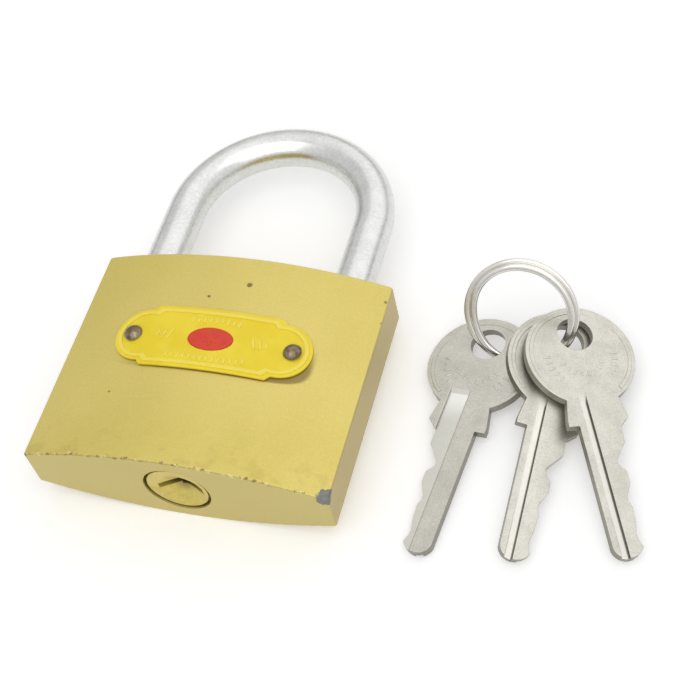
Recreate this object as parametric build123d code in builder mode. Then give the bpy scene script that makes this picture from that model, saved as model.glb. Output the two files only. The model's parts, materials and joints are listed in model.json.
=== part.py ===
from build123d import *
import os
from math import cos, radians, sin, sqrt

# A padlock lying on its back, with its three keys on a split ring beside it.
# X runs across the width, Y from the keyway end towards the shackle's crown and
# Z towards the front face. The origin is the centre of the keyway end's face.
# All lengths are millimetres.

# One overrun for every cut, and the gap where two still faces lie side by side
overrun = 1.0
still_gap = 0.05
moving_gap = 0.3
running_clearance = 0.05

# Case: flat sides and ends, front and back bowed as one arc each
case_width = 63.0
case_height = 50.3
case_side_thickness = 9.66
case_centre_thickness = 19.32
case_corner_radius = 0.6
case_edge_radius = 0.35
back_flat_depth = 0.1

# Shackle
shackle_diameter = 8.4
shackle_leg_spacing = 43.0
shackle_straight_above_case = 18.5
shackle_bore_clearance = 0.1
shackle_lift = 12.5
short_leg_depth = 11.9
long_leg_depth = 34.3
leg_end_chamfer = 0.8
neck_diameter = 4.4
long_bore_floor = 6.5

# Locking bolts in the cross bore
bolt_height = 43.2
bolt_diameter = 5.6
bolt_bore_clearance = 0.05
bolt_travel = 2.1
bolt_tip_chamfer = 0.6
bolt_tail_length = 7.7
bolt_slot_bridge = 1.2
notch_clearance = 0.2

# Plug, which the key turns
plug_diameter = 13.0
plug_face_recess = 0.3
plug_length = 31.7
plug_land_length = 1.2
plug_land_relief = 0.25
plug_mouth_diameter = 13.8
plug_mouth_depth = 1.1
plug_groove_diameter = 10.6
plug_turn = 60.0

# Dished key entry in the plug's face
dish_diameter = 9.4
dish_depth = 2.7
dish_offset = 0.9

# Cam behind the plug, with a crank pin for each bolt
cam_diameter = 7.6
cam_bore_clearance = 0.1
cam_pin_diameter = 1.5
cam_slot_clearance = 0.1
tenon_length = 6.8
tenon_width = 2.4
tenon_depth = 1.5
tenon_clearance = 0.1

# Pin stacks
pin_count = 5
first_pin_height = 8.5
pin_pitch = 3.75
pin_diameter = 2.8
pin_bore_clearance = 0.05
key_pin_point = 0.9
driver_length = 4.2
driver_edge = 0.3
pin_spring_length = 6.2
pin_spring_wire = 0.32
pin_spring_turns = 7
chamber_plug_recess = 0.2

# Retaining pins pressed in from the back
retaining_pin_diameter = 2.5
plug_pin_diameter = 1.8
retaining_pin_recess = 0.3
retaining_pin_reach = 5.0
plug_pin_reach = 3.0

# Shackle spring
shackle_spring_wire = 0.8
shackle_spring_turns = 6
shackle_spring_side_gap = 0.35

# Name plate on the front, with its raised rim, oval inlay and two rivets
plate_length = 41.7
plate_height = 14.5
plate_end_height = 12.4
plate_body_length = 28.6
plate_notch_depth = 1.0
plate_height_above_keyway_end = 28.8
plate_thickness = 0.6
rim_inset = 0.7
rim_width = 0.8
rim_rise = 0.25
inlay_length = 9.6
inlay_height = 5.5
inlay_recess = 0.25
inlay_rise = 0.1
rivet_spacing = 34.0
rivet_head_diameter = 3.8
rivet_head_rise = 1.15
rivet_shank_diameter = 2.2
rivet_shank_length = 5.0
rivet_hole_clearance = 0.05

# Key
key_thickness = 1.8
key_bow_diameter = 22.1
key_bow_centre = 15.5
key_hole_diameter = 7.2
key_hole_centre = 20.3
key_collar_top_width = 10.4
key_collar_width = 12.3
key_collar_height = 6.2
key_collar_flare_height = 1.3
key_shoulder_run = 0.7
key_blade_width = 8.1
key_tip_reach = 4.1
key_tip_offset = 0.8
key_tip_rise = 2.1
key_hook_rise = 1.9
key_tip_bulge = 0.8
key_hook_bulge = 0.4
key_hook_share = 0.27
key_cut_flat = 1.0
key_first_cut_lead = 4.2
key_cut_shares = (0.325, 0.155, 0.32, 0.28, 0.35)
key_ridge_shares = (0.16, 0.23, 0.26, 0.31)
key_groove_width = 1.5
key_groove_depth = 0.6
key_groove_from_spine = 1.35
key_groove_top = 5.0
key_recess_width = 4.1
key_recess_depth = 0.5
key_recess_top = 7.6
key_runout = 1.6
keyway_clearance = 0.15
keyway_back_relief = 0.9
keyway_axis_offset = 0.3

# Split ring: two flat coils, standing on the table at a slope
ring_outer_diameter = 23.1
ring_band_width = 1.9
ring_coil_thickness = 0.95
ring_coil_overlap = 0.05
ring_corner_radius = 0.4
ring_tilt = 60.0
ring_low_point = (57.45, 44.6)

# Where the keys lie in plan: hole centre and heading of the bow
left_key_hole = (51.3, 46.05)
middle_key_hole = (66.3, 47.5)
right_key_hole = (68.0, 47.9)
left_key_heading = 7.3
middle_key_heading = -0.75
right_key_heading = -25.2

# Gaps under the keys, where they rest on the table, the ring and each other
key_rest_gap = 0.1
left_key_ring_gap = 0.8
left_key_bow_gap = 0.9
middle_key_side_gap = 0.2
right_key_side_gap = 1.75

# Direction from the middle key's bow to where the right key crosses its rim
right_key_crossing = 30.0

# Worked out from the sizes above
half_width = case_width / 2
half_side = case_side_thickness / 2
half_centre = case_centre_thickness / 2
bulge = half_centre - half_side
face_radius = (half_width**2 + bulge**2) / (2 * bulge)
table_height = back_flat_depth - half_centre
leg_x = shackle_leg_spacing / 2
leg_radius = shackle_diameter / 2
leg_bore_radius = leg_radius + shackle_bore_clearance
crown_start = case_height + shackle_straight_above_case
short_leg_tip = case_height - short_leg_depth
long_leg_foot = case_height - long_leg_depth
bolt_radius = bolt_diameter / 2
bolt_bore_radius = bolt_radius + bolt_bore_clearance
bolt_tip = leg_x - leg_bore_radius - moving_gap
notch_half_height = bolt_radius + notch_clearance
notch_floor = bolt_tip + bolt_travel + moving_gap
retaining_pin_radius = retaining_pin_diameter / 2
neck_radius = neck_diameter / 2
neck_top = bolt_height - notch_half_height - 2 * bolt_radius - moving_gap
retaining_pin_y = neck_top - retaining_pin_radius - moving_gap / 2
neck_bottom = retaining_pin_y - retaining_pin_radius - moving_gap / 2 - shackle_lift
retaining_pin_x = leg_x + neck_radius + moving_gap + retaining_pin_radius
plug_radius = plug_diameter / 2
plug_bore_radius = plug_radius + running_clearance
plug_tail = plug_face_recess + plug_length
plug_pin_radius = plug_pin_diameter / 2
plug_groove_radius = plug_groove_diameter / 2
plug_pin_x = plug_groove_radius + moving_gap + plug_pin_radius
pin_radius = pin_diameter / 2
pin_bore_radius = pin_radius + pin_bore_clearance
pin_heights = [first_pin_height + i * pin_pitch for i in range(pin_count)]
plug_pin_y = pin_heights[-1] + pin_bore_radius + overrun + plug_pin_radius
cam_radius = cam_diameter / 2
cam_bore_radius = cam_radius + cam_bore_clearance
cam_start = plug_tail + still_gap
cam_shoulder = bolt_height - bolt_bore_radius - moving_gap
cam_pin_radius = cam_pin_diameter / 2
cam_pin_throw = bolt_travel
cam_pin_top = bolt_height + bolt_radius - bolt_slot_bridge - moving_gap
cam_bore_floor = cam_pin_top + moving_gap
half_turn = radians(plug_turn / 2)
blade_half = key_blade_width / 2
key_blade_length = pin_heights[-1] - plug_face_recess + key_tip_reach
key_radius = key_bow_diameter / 2
spine_x = keyway_axis_offset + blade_half
back_corner = (-blade_half, key_tip_rise - key_blade_length)
hook_corner = (blade_half - key_hook_share * key_blade_width, key_hook_rise - key_blade_length)
shear_line = sqrt(plug_radius**2 - pin_radius**2) - running_clearance
driver_start = plug_bore_radius + running_clearance
pin_spring_start = driver_start + driver_length
chamber_plug_start = pin_spring_start + pin_spring_length


def face_height(x):
    """Height of the case's front face over x."""
    return half_centre - face_radius + sqrt(face_radius**2 - x**2)


def across(height):
    """Plane square to the legs. A negative extrusion from it runs towards the crown."""
    return Plane.XZ.offset(-height)


def along(x):
    """Plane square to the width. A positive extrusion from it runs towards +X."""
    return Plane.YZ.offset(x)


# Case body, drilled for the legs, bolts, plug, cam, pin stacks and retaining pins
with BuildPart() as case_body:
    with BuildSketch(across(0)):
        with BuildLine():
            ThreePointArc((-half_width, half_side), (0, half_centre), (half_width, half_side))
            Line((half_width, half_side), (half_width, -half_side))
            ThreePointArc((half_width, -half_side), (0, -half_centre), (-half_width, -half_side))
            Line((-half_width, -half_side), (-half_width, half_side))
        make_face()
    extrude(amount=-case_height)
    fillet(case_body.edges().filter_by(Axis.Z), case_corner_radius)
    fillet(case_body.faces().sort_by(Axis.Z)[-1].edges(), case_edge_radius)
    fillet(case_body.faces().sort_by(Axis.Z)[0].edges(), case_edge_radius)

    # Narrow flat along the back, which the lock lies on
    with BuildSketch(Plane.XY.offset(table_height)):
        with Locations((0, case_height / 2)):
            Rectangle(case_width, case_height)
    extrude(amount=-back_flat_depth - overrun, mode=Mode.SUBTRACT)

    # Leg bores
    with BuildSketch(across(long_bore_floor)):
        with Locations((leg_x, 0)):
            Circle(leg_bore_radius)
    extrude(amount=-(case_height - long_bore_floor + overrun), mode=Mode.SUBTRACT)
    with BuildSketch(across(short_leg_tip - moving_gap)):
        with Locations((-leg_x, 0)):
            Circle(leg_bore_radius)
    extrude(amount=-(case_height - short_leg_tip + moving_gap + overrun), mode=Mode.SUBTRACT)

    # Cross bore for the bolts, drilled in from the short leg's side
    with BuildSketch(along(-half_width - overrun)):
        with Locations((bolt_height, 0)):
            Circle(bolt_bore_radius)
    extrude(amount=half_width + overrun + leg_x, mode=Mode.SUBTRACT)

    # Plug bore with its wider mouth, and the cam bore behind it
    with BuildSketch(across(-overrun)):
        Circle(plug_bore_radius)
    extrude(amount=-(plug_tail + still_gap + overrun), mode=Mode.SUBTRACT)
    with BuildSketch(across(-overrun)):
        Circle(plug_mouth_diameter / 2)
    extrude(amount=-(plug_mouth_depth + overrun), mode=Mode.SUBTRACT)
    with BuildSketch(across(plug_tail)):
        Circle(cam_bore_radius)
    extrude(amount=-(cam_bore_floor - plug_tail), mode=Mode.SUBTRACT)

    # Pin chambers
    with BuildSketch(along(-half_width - overrun)):
        with Locations(*[(height, 0) for height in pin_heights]):
            Circle(pin_bore_radius)
    extrude(amount=half_width + overrun - pin_bore_radius, mode=Mode.SUBTRACT)

    # Retaining pin holes from the back
    with BuildSketch(Plane.XY.offset(-half_centre)):
        with Locations((retaining_pin_x, retaining_pin_y)):
            Circle(retaining_pin_radius)
    extrude(amount=half_centre + retaining_pin_reach, mode=Mode.SUBTRACT)
    with BuildSketch(Plane.XY.offset(-half_centre)):
        with Locations((plug_pin_x, plug_pin_y)):
            Circle(plug_pin_radius)
    extrude(amount=half_centre + plug_pin_reach, mode=Mode.SUBTRACT)

    # Rivet holes in the front
    rivet_floor = face_height(rivet_spacing / 2) + plate_thickness - rivet_shank_length
    with BuildSketch(Plane.XY.offset(rivet_floor - still_gap)):
        with Locations(
            (-rivet_spacing / 2, plate_height_above_keyway_end),
            (rivet_spacing / 2, plate_height_above_keyway_end),
        ):
            Circle(rivet_shank_diameter / 2 + rivet_hole_clearance)
    extrude(amount=rivet_shank_length + overrun, mode=Mode.SUBTRACT)

# Shackle: one bent bar, with a turned neck on the long leg and a notch in each leg
with BuildPart() as shackle:
    with BuildLine() as bar_line:
        Line((leg_x, long_leg_foot), (leg_x, crown_start))
        ThreePointArc((leg_x, crown_start), (0, crown_start + leg_x), (-leg_x, crown_start))
        Line((-leg_x, crown_start), (-leg_x, short_leg_tip))
    with BuildSketch(across(long_leg_foot)):
        with Locations((leg_x, 0)):
            Circle(leg_radius)
    sweep(path=bar_line.wires()[0])
    chamfer(
        shackle.edges().filter_by(GeomType.CIRCLE).filter_by_position(
            Axis.Y, long_leg_foot - still_gap, short_leg_tip + still_gap
        ),
        leg_end_chamfer,
    )
    with BuildSketch(across(neck_bottom)):
        with Locations((leg_x, 0)):
            Circle(leg_radius + overrun)
            Circle(neck_radius, mode=Mode.SUBTRACT)
    extrude(amount=-(neck_top - neck_bottom), mode=Mode.SUBTRACT)
    with BuildSketch():
        for side in (-1, 1):
            with Locations((side * (notch_floor - leg_radius), bolt_height)):
                Rectangle(2 * leg_radius, 2 * notch_half_height)
    extrude(amount=leg_radius + overrun, both=True, mode=Mode.SUBTRACT)

# Plug: wider land, retaining groove, dished face, keyway, pin bores and tail slot
chamber_depth = keyway_axis_offset - blade_half + max(key_cut_shares) * key_blade_width
keyway_depth = key_blade_length + moving_gap
with BuildPart() as plug:
    with BuildSketch(across(plug_face_recess)):
        Circle(plug_radius)
    extrude(amount=-plug_length)
    with BuildSketch(across(plug_face_recess)):
        Circle(plug_radius + overrun)
        Circle(plug_radius - plug_land_relief, mode=Mode.SUBTRACT)
    extrude(amount=-plug_land_length, mode=Mode.SUBTRACT)
    with BuildSketch(across(plug_pin_y - plug_pin_radius - running_clearance)):
        Circle(plug_radius + overrun)
        Circle(plug_groove_radius, mode=Mode.SUBTRACT)
    extrude(amount=-2 * (plug_pin_radius + running_clearance), mode=Mode.SUBTRACT)
    with BuildSketch():
        with BuildLine():
            Polyline(
                (dish_offset, plug_face_recess),
                (dish_offset + dish_diameter / 2, plug_face_recess),
                (dish_offset, plug_face_recess + dish_depth),
                close=True,
            )
        make_face()
    revolve(axis=Axis((dish_offset, 0, 0), (0, 1, 0)), mode=Mode.SUBTRACT)

    # Keyway, with the two wards that fit the key's groove and recess
    slot_left = keyway_axis_offset - blade_half - keyway_clearance
    slot_right = spine_x + keyway_back_relief
    slot_half = key_thickness / 2 + keyway_clearance
    ward_right = spine_x - key_groove_from_spine - keyway_clearance
    ward_width = key_groove_width - 2 * keyway_clearance
    with BuildSketch(across(plug_face_recess)):
        with Locations((slot_left, 0)):
            Rectangle(slot_right - slot_left, 2 * slot_half, align=(Align.MIN, Align.CENTER))
        with Locations((ward_right, slot_half)):
            Rectangle(ward_width, key_groove_depth, align=(Align.MAX, Align.MAX), mode=Mode.SUBTRACT)
        with Locations((slot_left, -slot_half)):
            Rectangle(key_recess_width, key_recess_depth, align=(Align.MIN, Align.MIN), mode=Mode.SUBTRACT)
    extrude(amount=-keyway_depth, mode=Mode.SUBTRACT)
    with BuildSketch(along(-plug_radius - overrun)):
        with Locations(*[(height, 0) for height in pin_heights]):
            Circle(pin_bore_radius)
    extrude(amount=plug_radius + overrun + chamber_depth, mode=Mode.SUBTRACT)

    # Slot across the tail for the cam's tenon
    with BuildSketch(across(plug_tail - tenon_depth - tenon_clearance)):
        Rectangle(tenon_width + 2 * tenon_clearance, tenon_length + 2 * tenon_clearance)
    extrude(amount=-(tenon_depth + tenon_clearance), mode=Mode.SUBTRACT)

# Cam: a short shaft with a tenon in front and a crank pin for each bolt behind
crank_x = cam_pin_throw * sin(half_turn)
crank_z = cam_pin_throw * cos(half_turn)
with BuildPart() as cam:
    with BuildSketch(across(cam_start)):
        Circle(cam_radius)
    extrude(amount=-(cam_shoulder - cam_start))
    with BuildSketch(across(plug_tail - tenon_depth)):
        Rectangle(tenon_width, tenon_length)
    extrude(amount=-(tenon_depth + still_gap))
    with BuildSketch(across(cam_shoulder)):
        with Locations((crank_x, crank_z), (-crank_x, -crank_z)):
            Circle(cam_pin_radius)
    extrude(amount=-(cam_pin_top - cam_shoulder))

# Long leg's bolt: a round nose and a half-round tail that the cam's lower pin moves
tail_root = bolt_tail_length - cam_pin_throw - cam_pin_diameter
with BuildPart() as bolt_right:
    with BuildSketch(along(-(bolt_tail_length - tail_root))):
        with Locations((bolt_height, 0)):
            Circle(bolt_radius)
    extrude(amount=bolt_tip + bolt_tail_length - tail_root)
    chamfer(bolt_right.faces().sort_by(Axis.X)[-1].edges(), bolt_tip_chamfer)
    with BuildSketch(along(-bolt_tail_length)):
        with Locations((bolt_height, -moving_gap / 2)):
            Rectangle(
                bolt_diameter + overrun,
                bolt_diameter,
                align=(Align.CENTER, Align.MIN),
            )
    extrude(amount=bolt_tail_length + tail_root, mode=Mode.SUBTRACT)
    with BuildSketch(Plane.XY.offset(-moving_gap / 2)):
        with Locations((-crank_x, cam_pin_top + moving_gap)):
            Rectangle(
                cam_pin_diameter + cam_slot_clearance,
                2 * bolt_diameter,
                align=(Align.CENTER, Align.MAX),
            )
    extrude(amount=-bolt_diameter, mode=Mode.SUBTRACT)

# Short leg's bolt is the same piece turned half a turn about the plug's axis
bolt_left_solid = Rot(0, 180, 0) * bolt_right.part

# Plug that closes the cross bore in the side wall
with BuildPart() as cross_bore_plug:
    with BuildSketch(along(-half_width + chamber_plug_recess)):
        with Locations((bolt_height, 0)):
            Circle(bolt_bore_radius - still_gap)
    extrude(amount=half_width - chamber_plug_recess - leg_x - leg_bore_radius - moving_gap)
    chamfer(cross_bore_plug.edges().filter_by(GeomType.CIRCLE), leg_end_chamfer / 2)

# Rods that close the five pin chambers
with BuildPart() as chamber_plugs:
    with BuildSketch(along(-half_width + chamber_plug_recess)):
        with Locations(*[(height, 0) for height in pin_heights]):
            Circle(pin_bore_radius - still_gap / 2)
    extrude(amount=half_width - chamber_plug_recess - chamber_plug_start)


def make_retaining_pin(x, y, radius, reach):
    """Pin pressed in from the back face, ending just under it."""
    foot = -face_height(x) + retaining_pin_recess
    with BuildPart() as pin:
        with BuildSketch(Plane.XY.offset(foot)):
            with Locations((x, y)):
                Circle(radius - still_gap / 2)
        extrude(amount=reach - still_gap - foot)
        chamfer(pin.edges().filter_by(GeomType.CIRCLE), retaining_pin_recess)
    return pin.part


def make_spring(coil_radius, wire, length, turns, base):
    """Open coil spring that stands on the base plane; its ends touch the length's ends."""
    path_length = length - wire
    with BuildPart() as coil:
        with BuildLine() as coil_line:
            Helix(
                pitch=path_length / turns,
                height=path_length,
                radius=coil_radius,
                center=base.origin + base.z_dir * (wire / 2),
                direction=base.z_dir,
            )
        with BuildSketch(Plane(origin=coil_line.line @ 0, z_dir=coil_line.line % 0)):
            Circle(wire / 2)
        sweep(path=coil_line.wires()[0])
    return coil.part


# Spring under the long leg's foot
shackle_spring_radius = leg_bore_radius - shackle_spring_side_gap - shackle_spring_wire / 2
shackle_spring_base = Plane(origin=(leg_x, long_bore_floor + still_gap, 0), z_dir=(0, 1, 0))
shackle_spring_solid = make_spring(
    shackle_spring_radius,
    shackle_spring_wire,
    long_leg_foot - long_bore_floor - 2 * still_gap,
    shackle_spring_turns,
    shackle_spring_base,
)


def cut_depth(index):
    """How far one bitting cut goes in from the blade's edge."""
    return key_cut_shares[index] * key_blade_width


def make_key_pin(index):
    """Key pin held at the shear line, its point resting in its cut."""
    point = -(keyway_axis_offset - blade_half + cut_depth(index)) + still_gap
    with BuildPart() as pin:
        with BuildSketch(along(-shear_line)):
            with Locations((pin_heights[index], 0)):
                Circle(pin_radius)
        extrude(amount=shear_line - point)
        chamfer(pin.edges().sort_by(Axis.X)[-1], key_pin_point)
    return pin.part


def make_driver_pin(index):
    """Driver pin just outside the shear line."""
    with BuildPart() as pin:
        with BuildSketch(along(-driver_start)):
            with Locations((pin_heights[index], 0)):
                Circle(pin_radius)
        extrude(amount=-driver_length)
        chamfer(pin.edges().filter_by(GeomType.CIRCLE), driver_edge)
    return pin.part


def make_pin_spring(index):
    """Spring between a driver pin and its chamber plug."""
    base = Plane(origin=(-chamber_plug_start + still_gap, pin_heights[index], 0), z_dir=(1, 0, 0))
    coil_radius = pin_radius - pin_spring_wire
    return make_spring(
        coil_radius,
        pin_spring_wire,
        pin_spring_length - 2 * still_gap,
        pin_spring_turns,
        base,
    )


def shell_over_front(low, high):
    """Sheet that follows the front face, from low to high above it, as wide as the plate."""
    reach = plate_length / 2 + overrun
    with BuildPart() as sheet:
        with BuildSketch(across(0)):
            with BuildLine():
                ThreePointArc(
                    (-reach, face_height(reach) + low),
                    (0, half_centre + low),
                    (reach, face_height(reach) + low),
                )
                Line((reach, face_height(reach) + low), (reach, face_height(reach) + high))
                ThreePointArc(
                    (reach, face_height(reach) + high),
                    (0, half_centre + high),
                    (-reach, face_height(reach) + high),
                )
                Line((-reach, face_height(reach) + high), (-reach, face_height(reach) + low))
            make_face()
        extrude(amount=-case_height)
    return sheet.part


def plate_outline(inset):
    """Plate seen from the front: a long middle with a step at each end and rounded end caps."""
    half_body = plate_body_length / 2 - inset
    half_height = plate_height / 2 - inset
    half_end = plate_end_height / 2 - inset
    half_length = plate_length / 2 - inset
    step = plate_notch_depth
    corners = [(half_body - step, half_height), (half_body, half_height - step), (half_body, half_end)]
    with BuildSketch() as outline:
        with BuildLine():
            Line((step - half_body, half_height), corners[0])
            Line(corners[0], (half_body, half_end))
            ThreePointArc((half_body, half_end), (half_length, 0), (half_body, -half_end))
            Line((half_body, -half_end), (half_body - step, -half_height))
            Line((half_body - step, -half_height), (step - half_body, -half_height))
            Line((step - half_body, -half_height), (-half_body, -half_end))
            ThreePointArc((-half_body, -half_end), (-half_length, 0), (-half_body, half_end))
            Line((-half_body, half_end), (step - half_body, half_height))
        make_face()
    return outline.sketch


# Name plate, bent to the front face
plate_plane = Plane.XY.offset(half_side).move(Location((0, plate_height_above_keyway_end, 0)))
plate_rise = case_centre_thickness
with BuildPart() as plate_rim:
    add(shell_over_front(plate_thickness - still_gap, plate_thickness + rim_rise))
    with BuildSketch(plate_plane):
        add(plate_outline(rim_inset))
        add(plate_outline(rim_inset + rim_width), mode=Mode.SUBTRACT)
    extrude(amount=plate_rise, mode=Mode.INTERSECT)

with BuildPart() as name_plate:
    add(shell_over_front(still_gap, plate_thickness))
    with BuildSketch(plate_plane):
        add(plate_outline(0))
        with Locations((-rivet_spacing / 2, 0), (rivet_spacing / 2, 0)):
            Circle(rivet_shank_diameter / 2 + rivet_hole_clearance, mode=Mode.SUBTRACT)
    extrude(amount=plate_rise, mode=Mode.INTERSECT)
    add(plate_rim.part)

# Oval inlay in its recess at the plate's middle
with BuildPart() as inlay_pocket:
    add(shell_over_front(plate_thickness - inlay_recess, plate_thickness + overrun))
    with BuildSketch(plate_plane):
        Ellipse(inlay_length / 2, inlay_height / 2)
    extrude(amount=plate_rise, mode=Mode.INTERSECT)

with BuildPart() as oval_inlay:
    add(shell_over_front(plate_thickness - inlay_recess + still_gap, plate_thickness + inlay_rise))
    with BuildSketch(plate_plane):
        Ellipse(inlay_length / 2 - still_gap, inlay_height / 2 - still_gap)
    extrude(amount=plate_rise, mode=Mode.INTERSECT)

name_plate_solid = name_plate.part - inlay_pocket.part


def make_rivet(x):
    """Dome-headed rivet through the plate into the case."""
    seat = face_height(x - rivet_head_diameter / 2 * (1 if x > 0 else -1)) + plate_thickness + still_gap
    head_radius = rivet_head_diameter / 2
    shank_radius = rivet_shank_diameter / 2
    with BuildPart() as rivet:
        with BuildSketch(Plane.XZ.offset(-plate_height_above_keyway_end)):
            with BuildLine():
                Polyline(
                    (x, seat + rivet_head_rise),
                    (x, rivet_floor),
                    (x + shank_radius, rivet_floor),
                    (x + shank_radius, seat),
                    (x + head_radius, seat),
                )
                RadiusArc(
                    (x + head_radius, seat),
                    (x, seat + rivet_head_rise),
                    -(head_radius**2 + rivet_head_rise**2) / (2 * rivet_head_rise),
                )
            make_face()
        revolve(axis=Axis((x, plate_height_above_keyway_end, 0), (0, 0, 1)))
    return rivet.part


# Split ring: the two coils as one closed band with a groove between them
ring_radius = (ring_outer_diameter - ring_band_width) / 2
slope = radians(ring_tilt)
ring_half_height = ring_band_width / 2 * sin(slope) + ring_coil_thickness * cos(slope)
ring_low_z = table_height + ring_half_height + still_gap
ring_centre = Vector(
    ring_low_point[0],
    ring_low_point[1] + ring_radius * cos(slope),
    ring_low_z + ring_radius * sin(slope),
)
ring_axis_direction = Vector(0, -sin(slope), cos(slope))
with BuildPart() as split_ring:
    with BuildSketch(Plane(origin=ring_centre, x_dir=(1, 0, 0), z_dir=(0, cos(slope), sin(slope)))):
        for side in (-1, 1):
            with Locations((ring_radius, side * (ring_coil_thickness - ring_coil_overlap) / 2)):
                RectangleRounded(ring_band_width, ring_coil_thickness, ring_corner_radius)
    revolve(axis=Axis(ring_centre, ring_axis_direction))


class KeyRest:
    """Where one key lies: its hole in plan, its heading and the plane of its lower face."""

    def __init__(self, hole, heading, flipped):
        self.hole = hole
        self.forward = (sin(radians(heading)), cos(radians(heading)))
        self.flipped = flipped

    def plan(self, across_key, along_key):
        """Plan position of a point of the key, taken from its own centre line and shoulder."""
        step = along_key - key_hole_centre
        x = self.hole[0] + step * self.forward[0] + across_key * self.forward[1]
        y = self.hole[1] + step * self.forward[1] - across_key * self.forward[0]
        return x, y

    def settle(self, supports):
        """Lay the lower face on three points, each given as (x, y, z)."""
        first, second, third = [Vector(*point) for point in supports]
        normal = (second - first).cross(third - first).normalized()
        self.up = normal if normal.Z > 0 else -normal
        self.anchor = first

    def height(self, x, y):
        """Height of the lower face over a plan position."""
        rise = self.up.X * (x - self.anchor.X) + self.up.Y * (y - self.anchor.Y)
        return self.anchor.Z - rise / self.up.Z

    def top(self, x, y):
        """Height of the upper face over a plan position."""
        return self.height(x, y) + key_thickness / self.up.Z

    def plane(self):
        """Key's own plane: its origin at the shoulder, its X across and its Y to the bow."""
        right = Vector(self.forward[0], self.forward[1], 0).cross(self.up).normalized()
        bow = self.up.cross(right)
        hole = Vector(self.hole[0], self.hole[1], self.height(*self.hole))
        shoulder = hole - bow * key_hole_centre
        if self.flipped:
            return Plane(origin=shoulder + self.up * key_thickness, x_dir=-right, z_dir=-self.up)
        return Plane(origin=shoulder, x_dir=right, z_dir=self.up)

    def hole_centre(self):
        """Middle of the ring hole, on the lower face."""
        return Vector(self.hole[0], self.hole[1], self.height(*self.hole))


def blade_outline():
    """Bitting edge from the collar to the tip's hook, as (across, along) points."""
    cut_places = [-(height - plug_face_recess) for height in pin_heights]
    points = [(blade_half, -key_shoulder_run), (blade_half, cut_places[0] + key_first_cut_lead)]
    for index, place in enumerate(cut_places):
        edge = blade_half - cut_depth(index)
        points.append((edge, place + key_cut_flat / 2))
        points.append((edge, place - key_cut_flat / 2))
        if index + 1 < pin_count:
            ridge = key_ridge_shares[index] * key_blade_width
            points.append((blade_half - ridge, place - pin_pitch / 2))
    points.append(hook_corner)
    return points


def key_face():
    """Key's outline, its ring hole left for the pocket cuts that follow."""
    blade = blade_outline()
    half_top = key_collar_top_width / 2
    half_collar = key_collar_width / 2
    tip_point = (-key_tip_offset, -key_blade_length)
    with BuildSketch() as face:
        with BuildLine():
            Polyline(
                (0, key_bow_centre),
                (half_top, key_bow_centre),
                (half_top, key_collar_height),
                (half_collar, key_collar_flare_height),
                *blade,
            )
            SagittaArc(hook_corner, tip_point, key_hook_bulge)
            SagittaArc(tip_point, back_corner, key_tip_bulge)
            Polyline(
                back_corner,
                (-blade_half, 0),
                (-half_collar, 0),
                (-half_collar, key_collar_flare_height),
                (-half_top, key_collar_height),
                (-half_top, key_bow_centre),
                (0, key_bow_centre),
            )
        make_face()
        with Locations((0, key_bow_centre)):
            Circle(key_radius)
        with Locations((0, key_hole_centre)):
            Circle(key_hole_diameter / 2, mode=Mode.SUBTRACT)
    return face.sketch


def make_key(rest):
    """One key, with the narrow groove on its upper face and the wide recess on its lower one."""
    plane = rest.plane()
    side_plane = Plane(origin=plane.origin, x_dir=plane.y_dir, z_dir=plane.x_dir)
    tip = -key_blade_length - overrun
    with BuildPart() as key:
        with BuildSketch(plane):
            add(key_face())
        extrude(amount=key_thickness)
        with BuildSketch(side_plane.offset(-blade_half + key_groove_from_spine)):
            with BuildLine():
                Polyline(
                    (tip, key_thickness + overrun),
                    (tip, key_thickness - key_groove_depth),
                    (key_groove_top, key_thickness - key_groove_depth),
                    (key_groove_top + key_runout, key_thickness),
                    (key_groove_top + key_runout, key_thickness + overrun),
                    close=True,
                )
            make_face()
        extrude(amount=key_groove_width, mode=Mode.SUBTRACT)
        with BuildSketch(side_plane.offset(blade_half - key_recess_width)):
            with BuildLine():
                Polyline(
                    (tip, -overrun),
                    (tip, key_recess_depth),
                    (key_recess_top, key_recess_depth),
                    (key_recess_top + key_runout, 0),
                    (key_recess_top + key_runout, -overrun),
                    close=True,
                )
            make_face()
        extrude(amount=key_recess_width, mode=Mode.SUBTRACT)
    return key.part


# How the keys lie: the left one on the ring, the middle one on it, the right one on both
left_rest = KeyRest(left_key_hole, left_key_heading, True)
middle_rest = KeyRest(middle_key_hole, middle_key_heading, False)
right_rest = KeyRest(right_key_hole, right_key_heading, False)
floor_height = table_height + key_rest_gap

ring_top = ring_low_z + ring_half_height
left_rest.settle(
    [
        (*left_rest.plan(-key_radius, key_bow_centre), floor_height + left_key_bow_gap),
        (*left_rest.plan(-hook_corner[0], hook_corner[1]), floor_height),
        (ring_low_point[0], ring_low_point[1], ring_top + left_key_ring_gap),
    ]
)
middle_on_left = left_rest.plan(key_radius, key_bow_centre)
middle_rest.settle(
    [
        (*middle_rest.plan(key_radius, key_bow_centre), floor_height),
        (*middle_rest.plan(*hook_corner), floor_height),
        (*middle_on_left, left_rest.top(*middle_on_left) + middle_key_side_gap),
    ]
)
crossing = radians(right_key_crossing)
right_on_middle = middle_rest.plan(-key_radius * sin(crossing), key_bow_centre + key_radius * cos(crossing))
right_over_middle = middle_rest.plan(key_radius * cos(crossing), key_bow_centre)
right_rest.settle(
    [
        (*right_rest.plan(*hook_corner), floor_height),
        (*right_on_middle, middle_rest.top(*right_on_middle) + key_rest_gap),
        (*right_over_middle, middle_rest.top(*right_over_middle) + right_key_side_gap),
    ]
)

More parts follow.
